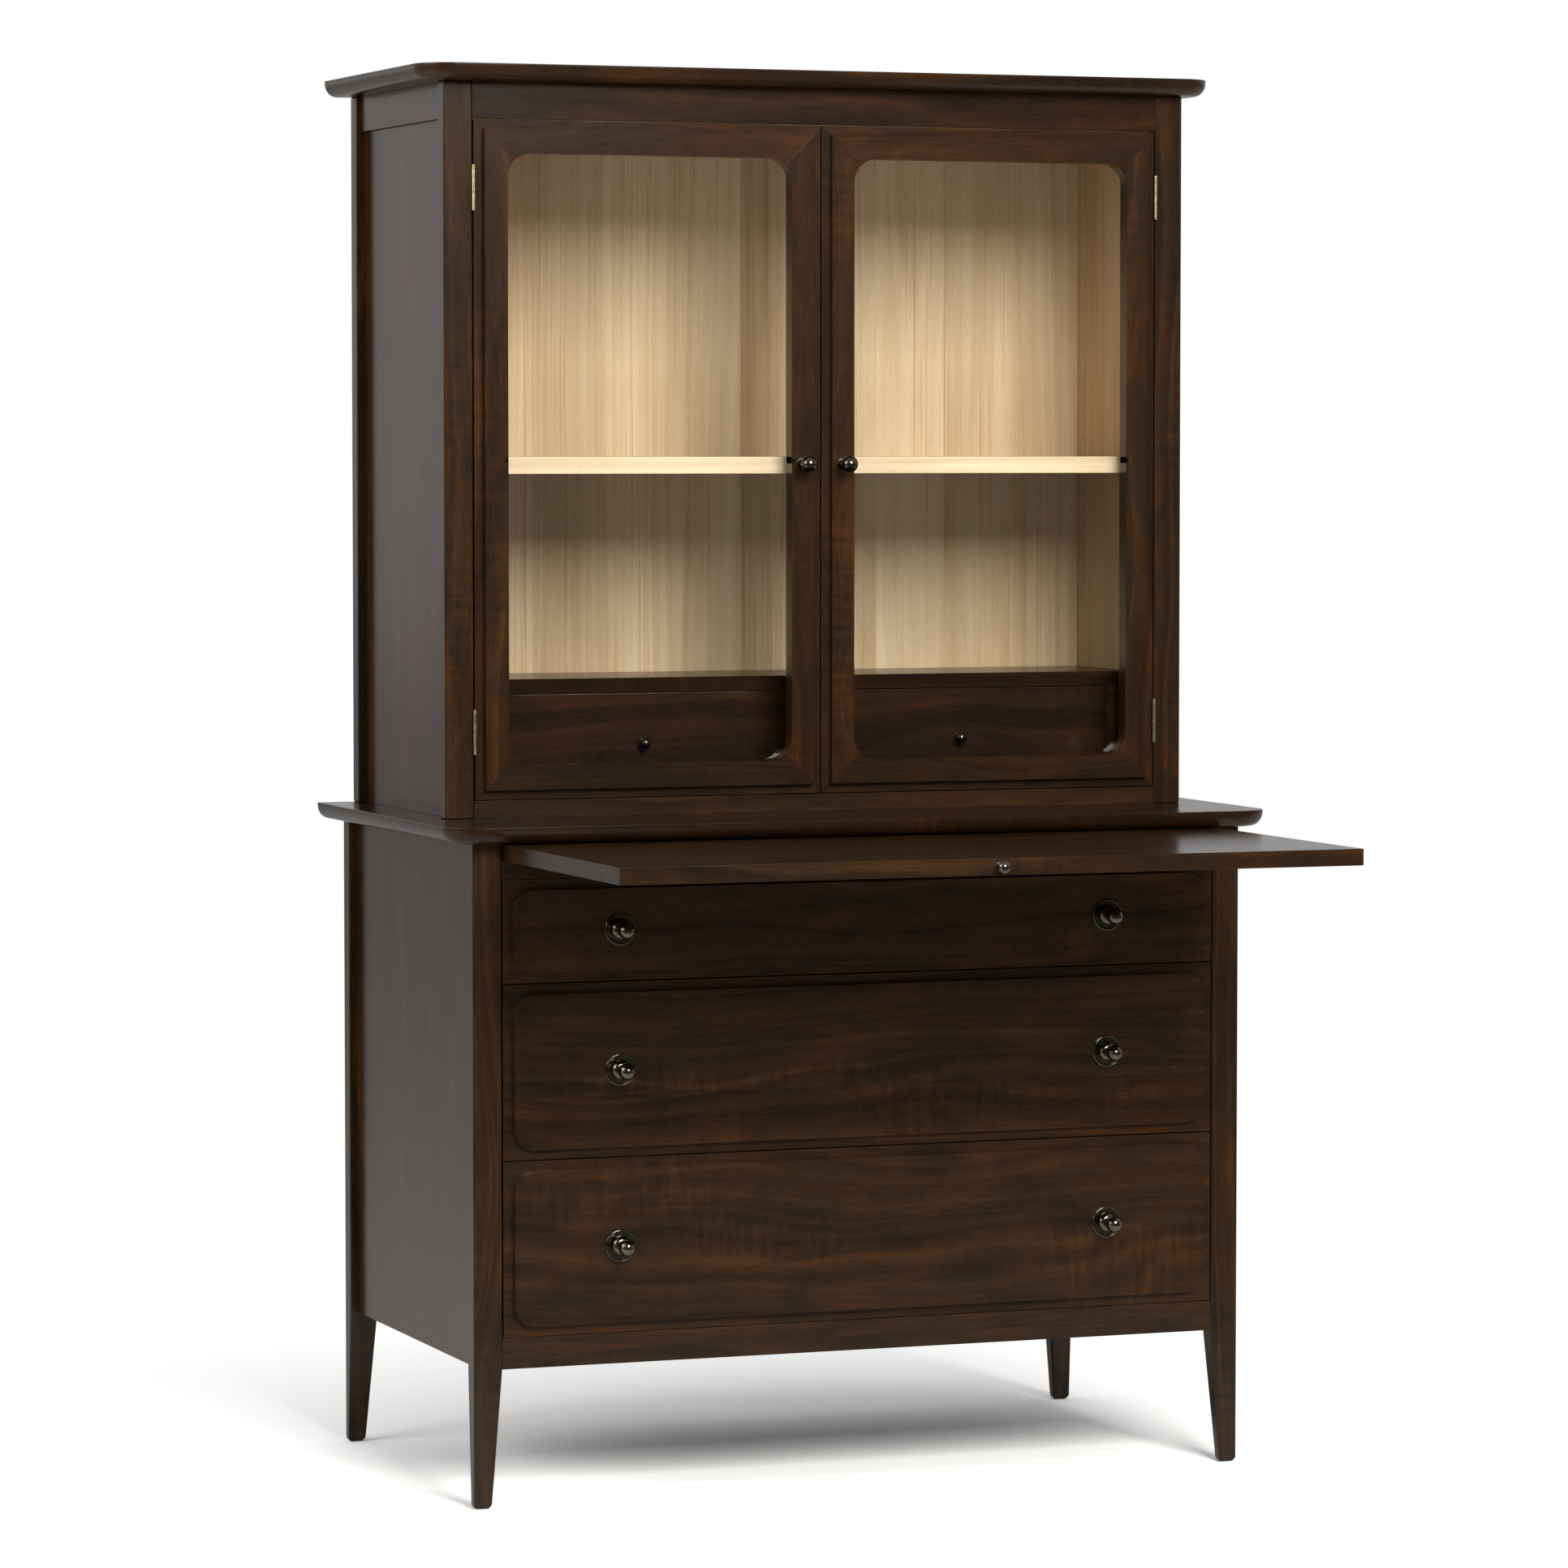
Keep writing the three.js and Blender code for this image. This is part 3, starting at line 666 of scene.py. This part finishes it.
def dress_door(side, seed):
    """A door frame of four mitred members, and the beads that hold its pane."""
    name = f"door_frame_{side}"
    low, high = (Vector(corner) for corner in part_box(name))
    corners = {
        (-1, -1): low,
        (-1, 1): Vector((low.x, low.y, high.z)),
        (1, -1): Vector((high.x, low.y, low.z)),
        (1, 1): high,
    }
    members = {
        "stile_left": ("Z", [(-1, -1), (-1, 1)]),
        "stile_right": ("Z", [(1, -1), (1, 1)]),
        "rail_bottom": ("X", [(-1, -1), (1, -1)]),
        "rail_top": ("X", [(-1, 1), (1, 1)]),
    }
    for index, (member, (axis, ends)) in enumerate(members.items()):
        sign = 1 if axis == "Z" else -1
        planes = [(corners[end], (-end[0] * sign, 0, end[1] * sign)) for end in ends]
        shape = part_of(name, *planes)
        round_arrises(shape, CRISP_ARRIS, 2)
        tint = DOOR_TINTS[index]
        material = wood(f"walnut_{name}_{member}", "walnut", axis, seed + 1.3 * index, tint)
        make_piece(f"{name}_{member}", shape, material, body_of[name], "walnut", name)
    dress_beads(side, seed + 9, high.y)


def dress_beads(side, seed, door_back):
    """Four mitred beads between the pane and the back of the door."""
    low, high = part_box(f"door_glass_{side}")
    xs = (low[0] + CRISP_ARRIS, high[0] - CRISP_ARRIS)
    zs = (low[2] + CRISP_ARRIS, high[2] - CRISP_ARRIS)
    ys = (high[1] + HAIRLINE, door_back - CRISP_ARRIS)
    outer = [[(x, z) for z in zs] for x in xs]
    inner = [[(x, z) for z in (zs[0] + BEAD, zs[1] - BEAD)] for x in (xs[0] + BEAD, xs[1] - BEAD)]
    outlines = {
        "left": ("Z", [outer[0][0], inner[0][0], inner[0][1], outer[0][1]]),
        "right": ("Z", [outer[1][0], inner[1][0], inner[1][1], outer[1][1]]),
        "bottom": ("X", [outer[0][0], outer[1][0], inner[1][0], inner[0][0]]),
        "top": ("X", [outer[0][1], outer[1][1], inner[1][1], inner[0][1]]),
    }
    for index, (edge, (axis, outline)) in enumerate(outlines.items()):
        shape = extrude(outline, 1, *ys)
        round_arrises(shape, FINE_ARRIS, 2)
        material = wood(f"walnut_bead_{side}_{edge}", "walnut", axis, seed + index)
        make_piece(f"glass_bead_{side}_{edge}", shape, material, f"door_{side}", "walnut")


def tail_places(low, high):
    """Middles of the dovetails on an end of a board that stands from low to high."""
    count = max(2, round((high - low) / TAIL_PITCH))
    pitch = (high - low) / count
    return [low + pitch * (index + 0.5) for index in range(count)], 0.3 * pitch


def tail_outline(middle, half, tip, root):
    """A dovetail's outline in Y and Z, from its root to its wider tip."""
    spread = half + abs(tip - root) * TAIL_SLOPE
    return [
        (root, middle - half), (tip, middle - spread),
        (tip, middle + spread), (root, middle + half),
    ]


def dovetailed_side(xs, ys, zs, wall):
    """A drawer side with tails at both ends, lying in the plane of Y and Z."""
    middles, half = tail_places(*zs)
    roots = (ys[0] + wall, ys[1] - wall)
    outline = [(roots[0], zs[0]), (roots[1], zs[0])]
    for middle in middles:
        outline += tail_outline(middle, half, ys[1], roots[1])
    outline += [(roots[1], zs[1]), (roots[0], zs[1])]
    for middle in reversed(middles):
        outline += reversed(tail_outline(middle, half, ys[0], roots[0]))
    return extrude(outline, 0, *xs)


def pinned_end(xs, ys, zs, wall, tip, root):
    """A drawer's front or back board, cut out where the sides' tails go through it."""
    shape = block((xs[0], ys[0], zs[0]), (xs[1], ys[1], zs[1]))
    middles, half = tail_places(*zs)
    beyond = tip + (tip - root) * 0.1
    cutter = bmesh.new()
    for middle in middles:
        outline = tail_outline(middle, half + HAIRLINE, beyond, root - (tip - root) * 0.001)
        extrude(outline, 0, xs[0] - wall, xs[0] + wall + HAIRLINE, cutter)
        extrude(outline, 0, xs[1] - wall - HAIRLINE, xs[1] + wall, cutter)
    return cut_away(shape, cutter)


def dress_box(name, prefix, body, low, high, wall, bottom, seed, *replaced):
    """A dovetailed drawer box: two sides, a front, a back and a bottom."""
    inner_x = (low[0] + wall, high[0] - wall)
    zs = (low[2], high[2])
    boards = {
        "side_left": ("Y", dovetailed_side((low[0], inner_x[0]), (low[1], high[1]), zs, wall)),
        "side_right": ("Y", dovetailed_side((inner_x[1], high[0]), (low[1], high[1]), zs, wall)),
        "front_board": ("X", pinned_end(
            (low[0], high[0]), (low[1], low[1] + wall), zs, wall, low[1], low[1] + wall)),
        "back_board": ("X", pinned_end(
            (low[0], high[0]), (high[1] - wall, high[1]), zs, wall, high[1], high[1] - wall)),
        "bottom": ("X", block(
            (inner_x[0] + HAIRLINE, low[1] + wall + HAIRLINE, low[2]),
            (inner_x[1] - HAIRLINE, high[1] - wall - HAIRLINE, low[2] + bottom))),
    }
    for index, (label, (axis, shape)) in enumerate(boards.items()):
        round_arrises(shape, HAIRLINE * 2, 1)
        leaves = (1, 0.11, low[1]) if label == "bottom" else None
        material = wood(f"maple_{prefix}_{label}", "maple", axis, seed + index, boards=leaves)
        make_piece(f"{prefix}_{label}", shape, material, body, "maple", *replaced)


def dress_small_drawer(side, seed):
    """A small drawer: its walnut front with a dovetailed maple box behind it."""
    name = f"small_drawer_{side}"
    low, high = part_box(name)
    seam = low[1] + SMALL_FRONT
    front = part_of(name, ((0, seam, 0), (0, 1, 0)))
    round_arrises(front, FINE_ARRIS)
    # The small drawer front's walnut is darkened by a tint: painted shade inside the hutch
    material = wood(f"walnut_{name}_front", "walnut", "X", seed, SHADED_SMALL_FRONT_TINT)
    make_piece(f"{name}_front", front, material, name, "walnut", name)
    box_low = (low[0] + SMALL_SIDE_GAP, seam, low[2])
    box_high = (high[0] - SMALL_SIDE_GAP, high[1], high[2] - SMALL_BOX_DROP)
    dress_box(name, name, name, box_low, box_high, SMALL_WALL, SMALL_BOTTOM, seed + 1, name)


def dress_hutch_side(side, sign, seed):
    """A hutch side: its rail and panel outside, and the maple and walnut lining inside."""
    name = f"hutch_side_{side}"
    low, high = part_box(name)
    inner = low[0] if sign > 0 else high[0]
    seam = inner + sign * LINING
    rail_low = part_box("hutch_top_rail")[0][2]
    deck_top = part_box("drawer_deck")[1][2]
    outside = ((seam, 0, 0), (-sign, 0, 0))
    pieces = {
        "panel": ("Z", [outside, ((0, 0, rail_low), (0, 0, 1))], PANEL_TINT),
        "rail": ("Y", [outside, ((0, 0, rail_low), (0, 0, -1))], PANEL_TINT),
    }
    for index, (label, (axis, planes, tint)) in enumerate(pieces.items()):
        shape = part_of(name, *planes)
        round_arrises(shape, CRISP_ARRIS, 2)
        material = wood(f"walnut_{name}_{label}", "walnut", axis, seed + index, tint)
        make_piece(f"{name}_{label}", shape, material, "desk", "walnut", name)
    xs = sorted((inner, seam))
    lower = block((xs[0], low[1], low[2]), (xs[1], high[1], deck_top))
    make_piece(f"{name}_plinth", lower, wood(f"walnut_{name}_plinth", "walnut", "Z", seed + 3),
               "desk", "walnut", name)
    upper = block((xs[0], low[1], deck_top), (xs[1], high[1], high[2]))
    cutter = bmesh.new()
    for row in PIN_HOLE_ROWS:
        for index in range(PIN_HOLES):
            centre = (row, PIN_HOLE_LOW + index * PIN_HOLE_PITCH)
            outline = arc(centre, (PIN_HOLE_RADIUS, PIN_HOLE_RADIUS), 0, 345, 23)
            depth = sign * PIN_HOLE_DEPTH
            extrude(outline, 0, inner - depth, inner + depth, cutter)
    lining = cut_away(upper, cutter)
    # The lining's maple is darkened by a tint: painted shade on the hutch's side walls
    material = wood(f"maple_{name}_lining", "maple", "Z", seed + 5, SHADED_LINING_TINT, (1, 0.12, 0.02))
    make_piece(f"{name}_lining", lining, material, "desk", "maple", name)


def dress_hinge_leaf(name, material):
    """A hinge leaf with its knuckles, the edges eased."""
    shape = cad_copy(name)
    round_arrises(shape, HINGE_ARRIS, 1)
    make_piece(f"{name}_brass", shape, material, body_of[name], "brass", name)


add_camera()
add_world()
add_area_lamp(
    "key", target=(0, 0.1, 1.2), azimuth=math.radians(3), elevation=math.radians(26),
    distance=6.0, size=(2.2, 2.4), power=370, colour=(1, 0.985, 0.955),
)
add_area_lamp(
    "side", target=(0, 0.1, 1.0), azimuth=math.radians(-80), elevation=math.radians(25),
    distance=5.0, size=(3.0, 2.4), power=80, colour=(1, 0.99, 0.97),
)
add_floor()

nickel = metal("dark_nickel_plate", (0.165, 0.15, 0.115), (0.11, 0.098, 0.074), 0.1, 0.2)
brass = metal("polished_brass", (0.86, 0.74, 0.40), (0.66, 0.54, 0.26), 0.16, 0.34)
glass = clear_glass()

WALNUT_BOARDS = [
    ("leg_front_left", "Z", SOFT_ARRIS), ("leg_front_right", "Z", SOFT_ARRIS),
    ("leg_rear_left", "Z", SOFT_ARRIS), ("leg_rear_right", "Z", SOFT_ARRIS),
    ("base_side_left", "Z", CRISP_ARRIS), ("base_side_right", "Z", CRISP_ARRIS),
    ("base_bottom_panel", "X", CRISP_ARRIS),
    ("base_bottom_rail", "X", CRISP_ARRIS), ("slide_rail", "X", CRISP_ARRIS),
    ("base_back", "X", CRISP_ARRIS), ("writing_slide", "X", CRISP_ARRIS),
    ("top_drawer_front", "X", CRISP_ARRIS), ("bottom_drawer_front", "X", CRISP_ARRIS),
    ("hutch_post_front_left", "Z", SOFT_ARRIS), ("hutch_post_front_right", "Z", SOFT_ARRIS),
    ("hutch_post_rear_left", "Z", SOFT_ARRIS), ("hutch_post_rear_right", "Z", SOFT_ARRIS),
    ("hutch_floor", "X", CRISP_ARRIS),
    ("hutch_top", "X", FINE_ARRIS),
    ("drawer_divider", "Y", CRISP_ARRIS), ("drawer_spacer_left", "Z", CRISP_ARRIS),
    ("drawer_spacer_right", "Z", CRISP_ARRIS),
]
for order, (name, axis, arris) in enumerate(WALNUT_BOARDS):
    dress_board(name, "walnut", axis, order, arris)
# Painted shade: a darker tint for the deck's walnut inside the hutch
dress_board("drawer_deck", "walnut", "X", 29, CRISP_ARRIS, (0.8, 0.76, 0.7), specular=0.06)
dress_board("base_top", "walnut", "X", 6, FINE_ARRIS, (0.72, 0.66, 0.6))
dress_board("hutch_top_rail", "walnut", "X", 19, CRISP_ARRIS, (0.78, 0.7, 0.62))
dress_board("middle_drawer_front", "walnut", "X", 30, CRISP_ARRIS, boards=(2, 0.16, 0.521))
dress_board("hutch_back", "maple", "Z", 41, CRISP_ARRIS, boards=(0, 0.098, -0.408))
# Painted light: the shelf's maple is lightened, as its front edge catches the lamp
dress_board("shelf", "maple", "X", 42, FINE_ARRIS, (1.22, 1.26, 1.34))
dress_board("runner_frame_left", "maple", "Y", 43, CRISP_ARRIS)
dress_board("runner_frame_right", "maple", "Y", 44, CRISP_ARRIS)
for order, drawer in enumerate(("top", "middle", "bottom")):
    box = f"{drawer}_drawer_box"
    body = f"{drawer}_drawer"
    dress_box(box, body, body, *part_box(box), DRAWER_WALL, DRAWER_BOTTOM, 50 + 7 * order, box)
for side, sign, seed in (("left", -1, 80), ("right", 1, 100)):
    dress_hutch_side(side, sign, seed)
    dress_door(side, seed + 7)
    dress_small_drawer(side, seed + 13)
    dress_knob(f"door_knob_{side}", DOOR_KNOB, nickel)
    dress_knob(f"small_drawer_knob_{side}", SMALL_KNOB, nickel)
    for drawer in ("top", "middle", "bottom"):
        dress_knob(f"{drawer}_drawer_knob_{side}", LARGE_KNOB, nickel)
    frame["nodes"][f"door_glass_{side}"].material_slots[0].material = glass
dress_knob("writing_slide_knob", SLIDE_KNOB, nickel)
for name in frame["nodes"]:
    if name.startswith("hinge_"):
        dress_hinge_leaf(name, brass)

bpy.context.scene.view_settings.view_transform = "Standard"
